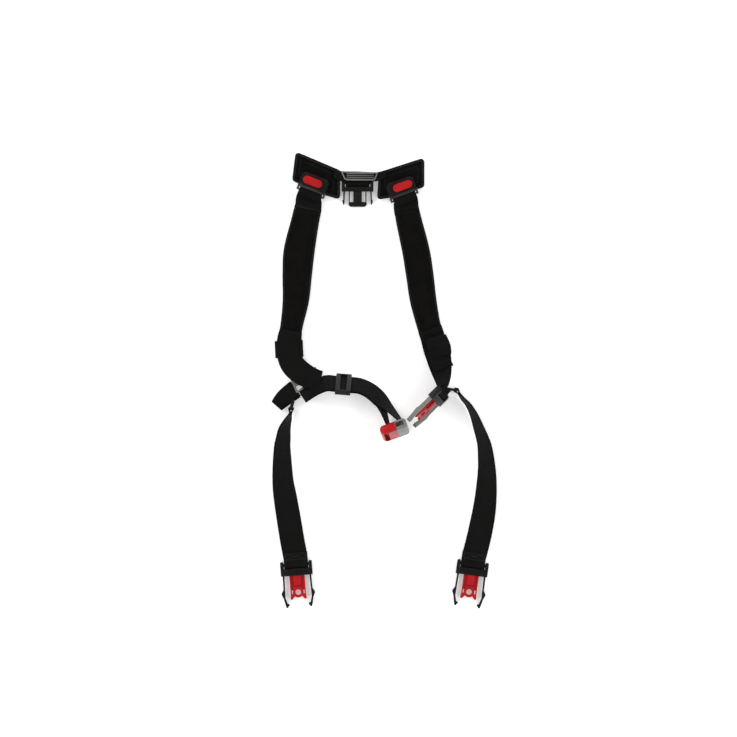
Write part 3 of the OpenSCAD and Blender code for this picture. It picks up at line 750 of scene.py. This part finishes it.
for side, route in (("left", LEFT_SHOULDER), ("right", RIGHT_SHOULDER)):
    strap_nodes = [side + "_shoulder_cover", side + "_shoulder_foam", side + "_shoulder_lining"]
    outer = strip_outline(route, 0.3)
    padded_panel(side + "_shoulder_pad", outer, strip_outline(route, 1.7, 3.0), STRAP_PAD_T, strap_nodes)
    bound_edge(side + "_shoulder", outer, 3.6, 1.0, 7.0, strap_nodes[0])


# ---------------------------------------------------------------- webbing

def declare_webbing(obj, strip):
    """Works out the mean width of a length of webbing; nothing further is done with it."""
    width = 2 * float(np.mean(strip.half))


def sine_fold(depth, waves, start=0.0):
    """Crumpled webbing: folds across the strap that grow along it."""
    def lift(t, a):
        return depth * (start + (1 - start) * t) * math.sin(waves * 2 * math.pi * t + 0.9 * a)
    return lift


FLAT_STRAPS = [
    ("left_lower_webbing", LEFT_LOWER, None),
    ("left_tail_webbing", LEFT_TAIL, sine_fold(0.7, 1.2, 0.6)),
    ("right_lower_webbing", RIGHT_LOWER, None),
    ("left_leg_strap", LEFT_LEG, None),
    ("right_leg_strap", RIGHT_LEG, None),
]
for node, route, bend in FLAT_STRAPS:
    strap_object, strip = webbing(node + "_web", route, node, bend=bend)
    declare_webbing(strap_object, strip)

for node, end, low, high in (("chest_strap_front", CHEST_FRONT_END, 0.06, WEB_T),
                             ("chest_strap_back", CHEST_BACK_END, -WEB_T, -0.06)):
    strap_object, strip = webbing(node + "_web", CHEST + end, node, low=low, high=high)
    declare_webbing(strap_object, strip)

# The right strap's spare length lies in folds
bunch, strip = webbing("right_tail_webbing_web", RIGHT_TAIL, "right_tail_webbing", steps=20,
                       bend=sine_fold(1.9, 3.5, 0.7))
declare_webbing(bunch, strip)
narrow_tail = [(x - 1.5, y + 2, lift + 3.2, width - 5, roll) for x, y, lift, width, roll in RIGHT_TAIL]
upper_bunch, strip = webbing("right_tail_upper_fold", narrow_tail, "right_tail_webbing", steps=20,
                             bend=sine_fold(1.7, 4.2, 0.5))
declare_webbing(upper_bunch, strip)
# The left strap's end is folded back on itself
folded_end = [(x + 1.0, y + 1.5, lift + 2.6, width - 2.5, roll) for x, y, lift, width, roll in LEFT_TAIL]
upper_fold, strip = webbing("left_tail_upper_fold", folded_end, "left_tail_webbing",
                            bend=sine_fold(0.8, 1.6, 0.5))
declare_webbing(upper_fold, strip)

for side, route, node in (("left", LEFT_NECK, "left_loop_tab"), ("right", RIGHT_NECK, "right_loop_tab")):
    strip = Strip(route, WEB_T)
    rings = []
    strap = []
    for i in range(strip.count):
        section = web_section(strip.half[i], -WEB_T / 2, WEB_T / 2)
        rings.append([strip.point(i, a, b + ripple(strip.along[i], a, 0.08)) for a, b in section])
        strap.append([(a, strip.along[i], b) for a, b in section])
    neck = loft(side + "_neck_webbing", rings, strap, "webbing", None)
    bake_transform(neck)
    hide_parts(node)
    declare_webbing(neck, strip)

BRIDGE = [(-78, 322, PAD_T, 11, 0), (-66, 317.5, PAD_T, 16, 0), (-39, 317, PAD_T, 15.4, 0),
          (-12, 316.5, PAD_T, 14, 0), (3, 322, PAD_T, 10, 0)]
BRIDGE_T = 2.6
bridge, strip = webbing("bridge_panel_band", BRIDGE, "bridge_panel", low=-BRIDGE_T / 2, high=BRIDGE_T / 2,
                        thickness=BRIDGE_T, soft=0.1)
declare_webbing(bridge, strip)


# ---------------------------------------------------------------- hems round bars

def hem(name, to_world, width, tail, node, radius=3.3, layer=2.0, slack=0.0):
    """Webbing that goes round a bar and is sewn to itself, with some slack on the bar's far side.

    Its own frame has the bar along X and the tail towards +Y.
    """
    lay = layer / 2 + 0.12
    path = [(tail, lay), (tail * 0.75, lay), (tail * 0.5, lay), (6.5, lay + 0.15), (4.6, lay + 0.5)]
    path += [((radius + (slack if a > math.pi / 2 else 0)) * math.cos(a), radius * math.sin(a))
             for a in np.radians(np.arange(50, 181, 13))]
    path += [(y, -z) for y, z in path[::-1][1:]]
    path = np.array(path)
    run = np.gradient(path, axis=0)
    run = run / np.linalg.norm(run, axis=1)[:, None]
    out = np.column_stack([run[:, 1], -run[:, 0]])
    along = np.concatenate([[0], np.cumsum(np.linalg.norm(np.diff(path, axis=0), axis=1))])
    columns = [(-0.5, 0.45), (-0.485, 0.85), (-0.46, 1.0)]
    columns += [(k / 10, 1.0) for k in range(-4, 5)]
    columns += [(-x, s) for x, s in columns[2::-1]]
    rings = []
    strap = []
    for place_x, scale in columns:
        x = place_x * width
        profile = list(path + out * layer / 2 * scale) + list((path - out * layer / 2 * scale)[::-1])
        lengths = list(along) + list(along[::-1])
        rings.append([to_world((x, y, z)) for y, z in profile])
        strap.append([(x, s, 0) for s in lengths])
    obj = loft(name, rings, strap, "webbing", BODY_OF[node])
    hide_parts(node)
    return obj


def box_stitch(name, to_world, half, near, far, height, body):
    """Stitched box with a cross in it, on the face of a hem."""
    corners = [(-half, near), (half, near), (half, far), (-half, far)]
    paths = [corners + corners[:1], [corners[0], corners[2]], [corners[1], corners[3]]]
    up = to_world((0, 0, 1)) - to_world((0, 0, 0))
    for number, path in enumerate(paths):
        points = []
        for (x0, y0), (x1, y1) in zip(path, path[1:]):
            for f in np.linspace(0, 1, 8):
                points.append(to_world((x0 + (x1 - x0) * f, y0 + (y1 - y0) * f, height)))
        keep = [points[0]] + [b for a, b in zip(points, points[1:]) if np.linalg.norm(b - a) > 1e-6]
        stitch_row(f"{name}_{number}", keep, [up] * len(keep), body, pitch=2.6, length=2.0)


def at_left_bar(v):
    return turned(LEFT_BAR, LEFT_TURN, 0, v)


def at_right_bar(v):
    return turned(RIGHT_BAR, RIGHT_TURN, 0, v)


def at_back_bar(v):
    return turned(BACK_BAR, 0, 0, v)


def at_chest_bar(v):
    return turned(CHEST_BAR, CHEST_TURN, CHEST_ROLL, v)


def at_post(pivot, low, direction):
    """Frame of a hem on an upright post: its X is the post, its Y the strap's way out."""
    out = np.array([direction[0], direction[1], 0.0]) / math.hypot(*direction)
    up = np.array([0.0, 0.0, 1.0])
    base = np.array([pivot[0], pivot[1], low + WEB_W / 2])

    def to_world(v):
        return base + up * v[0] + out * v[1] + np.cross(up, out) * v[2]
    return to_world


BAR_SLACK = 2.1
hem("left_leg_hem", at_left_bar, WEB_W - 0.5, 19, "left_leg_hems", slack=BAR_SLACK)
hem("right_leg_hem", at_right_bar, WEB_W - 0.5, 19, "right_leg_hems", slack=BAR_SLACK)
hem("left_pivot_hem", at_post(LEFT_PIVOT, 3, (-0.5, -5)), WEB_W, 9, "left_leg_hems", radius=3.1)
hem("right_pivot_hem", at_post(RIGHT_PIVOT, 3, (4.6, -5.4)), WEB_W, 9, "right_leg_hems", radius=3.1)
hem("back_buckle_hem", at_back_bar, WEB_W - 1, 13, "back_buckle_loop", slack=BAR_SLACK)
hem("chest_buckle_hem", at_chest_bar, WEB_W - 1, 13, "right_lower_webbing", slack=BAR_SLACK)


def at_lock_bar(lock, turn):
    """Frame of a hem on a latch plate's outer bar: its tail goes down to the strap."""
    def to_world(v):
        return turned((lock[0], lock[1], 12.9), turn, 0, (v[0], -3.7 - v[1], v[2]))
    return to_world


LOCK_HEM = {"radius": 2.3, "layer": 1.5, "slack": 1.4}
hem("left_lock_hem", at_lock_bar(LEFT_LOCK, LEFT_LOCK_TURN), 37, 8.5, "left_loop_tab", **LOCK_HEM)
hem("right_lock_hem", at_lock_bar(RIGHT_LOCK, RIGHT_LOCK_TURN), 37, 8.5, "right_loop_tab", **LOCK_HEM)
box_stitch("left_leg_hem_stitches", at_left_bar, 15.5, 7.5, 17.5, 2.2, BODY_OF["left_leg_hems"])
box_stitch("right_leg_hem_stitches", at_right_bar, 15.5, 7.5, 17.5, 2.2, BODY_OF["right_leg_hems"])


# ---------------------------------------------------------------- mouldings

# Width of each moulding's rounded edges in millimetres, and their segments
BEVELS = {
    "bridge_piping": (0.5, 3), "left_adjuster": (1.2, 4), "left_junction_frame": (1.2, 4),
    "chest_slider": (1.4, 4), "left_leg_ring": (0.7, 3), "right_leg_ring": (0.7, 3),
}
for side in ("left", "right"):
    BEVELS[side + "_lock_housing"] = (1.1, 4)
    BEVELS[side + "_lock_tongue"] = (0.6, 3)
    BEVELS[side + "_lock_button"] = (1.6, 5)
    BEVELS[side + "_lock_spring"] = (0.05, 1)
for buckle in ("back", "chest", "left", "right"):
    BEVELS[buckle + "_buckle_frame"] = (0.9, 4)
    BEVELS[buckle + "_buckle_tongue"] = (0.6, 3)
    BEVELS[buckle + "_buckle_left_arm"] = (0.6, 3)
    BEVELS[buckle + "_buckle_right_arm"] = (0.6, 3)
# Mouldings finished in another plastic than their slot's
FINISH = {
    "back_buckle_tongue": "black_plastic",
    "left_leg_ring": "black_plastic",
    "right_leg_ring": "black_plastic",
    "back_buckle_left_arm": "grey_plastic",
    "back_buckle_right_arm": "grey_plastic",
}
for node, (bevel, segments) in BEVELS.items():
    from_cad(node, bevel, segments, FINISH.get(node))

# Each lock's spring gets a mesh of its own; its lowest and highest heights are read but not used
for side in ("left", "right"):
    spring = bpy.data.objects[side + "_lock_spring_moulding"]
    heights = coordinates(spring.data)[:, 2] / MM
    low, high = float(np.min(heights)), float(np.max(heights))
    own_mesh(spring)


def rod(name, start, end, radius, node, sides=10):
    """A straight bar with rounded ends, between two points in millimetres."""
    start, end = np.array(start), np.array(end)
    run = (end - start) / np.linalg.norm(end - start)
    across = np.cross(run, (0.3, 0.2, 1.0))
    across = across / np.linalg.norm(across)
    up = np.cross(across, run)
    length = np.linalg.norm(end - start)
    steps = [(0, 0.3), (0.3 * radius, 0.75), (radius, 1.0), (length - radius, 1.0),
             (length - 0.3 * radius, 0.75), (length, 0.3)]
    rings = []
    for distance, scale in steps:
        turns = [2 * math.pi * k / sides for k in range(sides)]
        rings.append([start + run * distance + (across * math.cos(a) + up * math.sin(a)) * radius * scale
                      for a in turns])
    strap = np.zeros((len(rings) * sides, 3))
    obj = loft(name, rings, strap, FINISH.get(node, SLOT_OF[node]), BODY_OF[node])
    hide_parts(node)
    return obj


# Grip ribs across the top of each buckle body
RIB_HALF, RIB_HEIGHT, RIB_RADIUS = 17.5, 4.85, 0.75
LONG_BODY_RIBS, SHORT_BODY_RIBS = (-9.0, -11.6, -14.2), (-9.0, -11.2)
RIB_ROWS = [
    ("left", at_left_bar, LONG_BODY_RIBS), ("right", at_right_bar, LONG_BODY_RIBS),
    ("chest", at_chest_bar, LONG_BODY_RIBS), ("back", at_back_bar, SHORT_BODY_RIBS),
]
for buckle, to_world, rows in RIB_ROWS:
    for number, y in enumerate(rows):
        rod(f"{buckle}_buckle_rib_{number}", to_world((-RIB_HALF, y, RIB_HEIGHT)),
            to_world((RIB_HALF, y, RIB_HEIGHT)), RIB_RADIUS, buckle + "_buckle_frame")


# ---------------------------------------------------------------- female half of the chest buckle

def at_mouth(v):
    return turned(FEMALE_MOUTH, FEMALE_TURN, FEMALE_ROLL, v)


def block(name, low, high, radius=0.0, segments=6):
    """A box between two corners in the mouth's own frame, its edges rounded."""
    corners = [(x, y, z) for z in (low[2], high[2]) for y in (low[1], high[1]) for x in (low[0], high[0])]
    faces = [(0, 2, 3, 1), (4, 5, 7, 6), (0, 1, 5, 4), (1, 3, 7, 5), (3, 2, 6, 7), (2, 0, 4, 6)]
    obj = add_object(name, np.array(corners) * MM, faces, "light_plastic", None)
    if radius:
        rounded = obj.modifiers.new("rounded", "BEVEL")
        rounded.width = radius * MM
        rounded.segments = segments
        apply_modifiers(obj)
    return obj


def cut(obj, cutters):
    for cutter in cutters:
        hole = obj.modifiers.new("hole", "BOOLEAN")
        hole.operation = "DIFFERENCE"
        hole.solver = "EXACT"
        hole.object = cutter
        apply_modifiers(obj)
        bpy.data.objects.remove(cutter)


def finish_moulding(obj, node, material_name):
    """Softens the cut edges, then puts the moulding in its place on the strap."""
    obj.data.materials.clear()
    obj.data.materials.append(MATERIALS[material_name])
    softened = obj.modifiers.new("softened", "BEVEL")
    softened.width = 0.6 * MM
    softened.segments = 3
    softened.limit_method = "ANGLE"
    softened.angle_limit = math.radians(50)
    smooth_by_angle(obj)
    points = coordinates(obj.data) / MM
    set_coordinates(obj.data, np.array([at_mouth(p) for p in points]) * MM)
    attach(obj, BODY_OF[node])
    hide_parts(node)


FEMALE_W, FEMALE_T = 50.0, 15.0
COLLAR_L, SHELL_L = 18.0, 25.0
CAVITY_W, CAVITY_T, CAVITY_L = 45.6, 7.6, 31.0
half_w, half_t, far = FEMALE_W / 2, FEMALE_T / 2, COLLAR_L + SHELL_L

shell = block("chest_female_shell_moulding", (-half_w, -far, -half_t), (half_w, -8, half_t), 6.2, 8)
cut(shell, [
    block("collar_space", (-40, -COLLAR_L, -20), (40, 5, 20)),
    block("shell_cavity", (-CAVITY_W / 2, -CAVITY_L, -CAVITY_T / 2), (CAVITY_W / 2, 2, CAVITY_T / 2)),
    block("shell_web_slot", (-WEB_W / 2 - 1, -far + 3.5, -20), (WEB_W / 2 + 1, -far + 11, 20), 1.5, 3),
])
finish_moulding(shell, "chest_female_shell", "red_plastic")

collar = block("chest_female_collar_moulding", (-half_w, -30, -half_t), (half_w, 0, half_t), 5.0, 6)
cut(collar, [
    block("shell_space", (-40, -60, -20), (40, -COLLAR_L, 20)),
    block("collar_cavity", (-CAVITY_W / 2, -40, -CAVITY_T / 2), (CAVITY_W / 2, 5, CAVITY_T / 2)),
    block("left_window", (-half_w - 4, -17.4, -CAVITY_T / 2), (-half_w + 4, -4.6, CAVITY_T / 2)),
    block("right_window", (half_w - 4, -17.4, -CAVITY_T / 2), (half_w + 4, -4.6, CAVITY_T / 2)),
])
finish_moulding(collar, "chest_female_collar", "light_plastic")


# ---------------------------------------------------------------- camera, light and floor

camera_data = bpy.data.cameras.new("camera")
camera_data.lens = 125.4
camera_data.sensor_width = 36
camera_data.clip_end = 50
camera = bpy.data.objects.new("camera", camera_data)
camera.location = (-0.024, 0.0186, 4.0)
bpy.context.scene.collection.objects.link(camera)
bpy.context.scene.camera = camera


SOFTBOX_PLACES = ((-2.1, 1.3), (2.1, 1.3), (2.1, -1.5), (-2.1, -1.5))
SOFTBOX_HEIGHT = 1.7
SOFTBOX_SIZE = (1.6, 1.6)
SOFTBOX_POWER = (44, 36, 30, 30)


def soft_light(name, at, size, power, target=(0.0, 0.0, 0.0)):
    data = bpy.data.lights.new(name, "AREA")
    data.shape = "RECTANGLE"
    data.size, data.size_y = size
    data.energy = power
    obj = bpy.data.objects.new(name, data)
    obj.location = at
    obj.rotation_euler = (Vector(target) - Vector(at)).to_track_quat("-Z", "Y").to_euler()
    bpy.context.scene.collection.objects.link(obj)


for number, (x, y) in enumerate(SOFTBOX_PLACES):
    soft_light(f"side_softbox_{number}", (x, y, SOFTBOX_HEIGHT), SOFTBOX_SIZE, SOFTBOX_POWER[number])

world = bpy.data.worlds.new("studio")
world.use_nodes = True
world.node_tree.nodes["Background"].inputs["Color"].default_value = (1, 1, 1, 1)
world.node_tree.nodes["Background"].inputs["Strength"].default_value = 0.6
bpy.context.scene.world = world
bpy.context.scene.view_settings.view_transform = "Standard"

floor_mesh = bpy.data.meshes.new("floor")
floor_mesh.from_pydata([(-3, -3, 0), (3, -3, 0), (3, 3, 0), (-3, 3, 0)], [], [(0, 1, 2, 3)])
floor = bpy.data.objects.new("floor", floor_mesh)
floor.location.z = -0.0006
bpy.context.scene.collection.objects.link(floor)
floor_look = Graph("floor")
floor_mesh.materials.append(floor_look.finish((0.95, 0.95, 0.95, 1), 0.9, floor_look.bump(
    floor_look.noise(floor_look.place(), 4), 0.2 * MM, 0.05)))
# A little light of its own keeps the ground white
floor_look.shader.inputs["Emission Color"].default_value = (1, 1, 1, 1)
floor_look.shader.inputs["Emission Strength"].default_value = 0.25
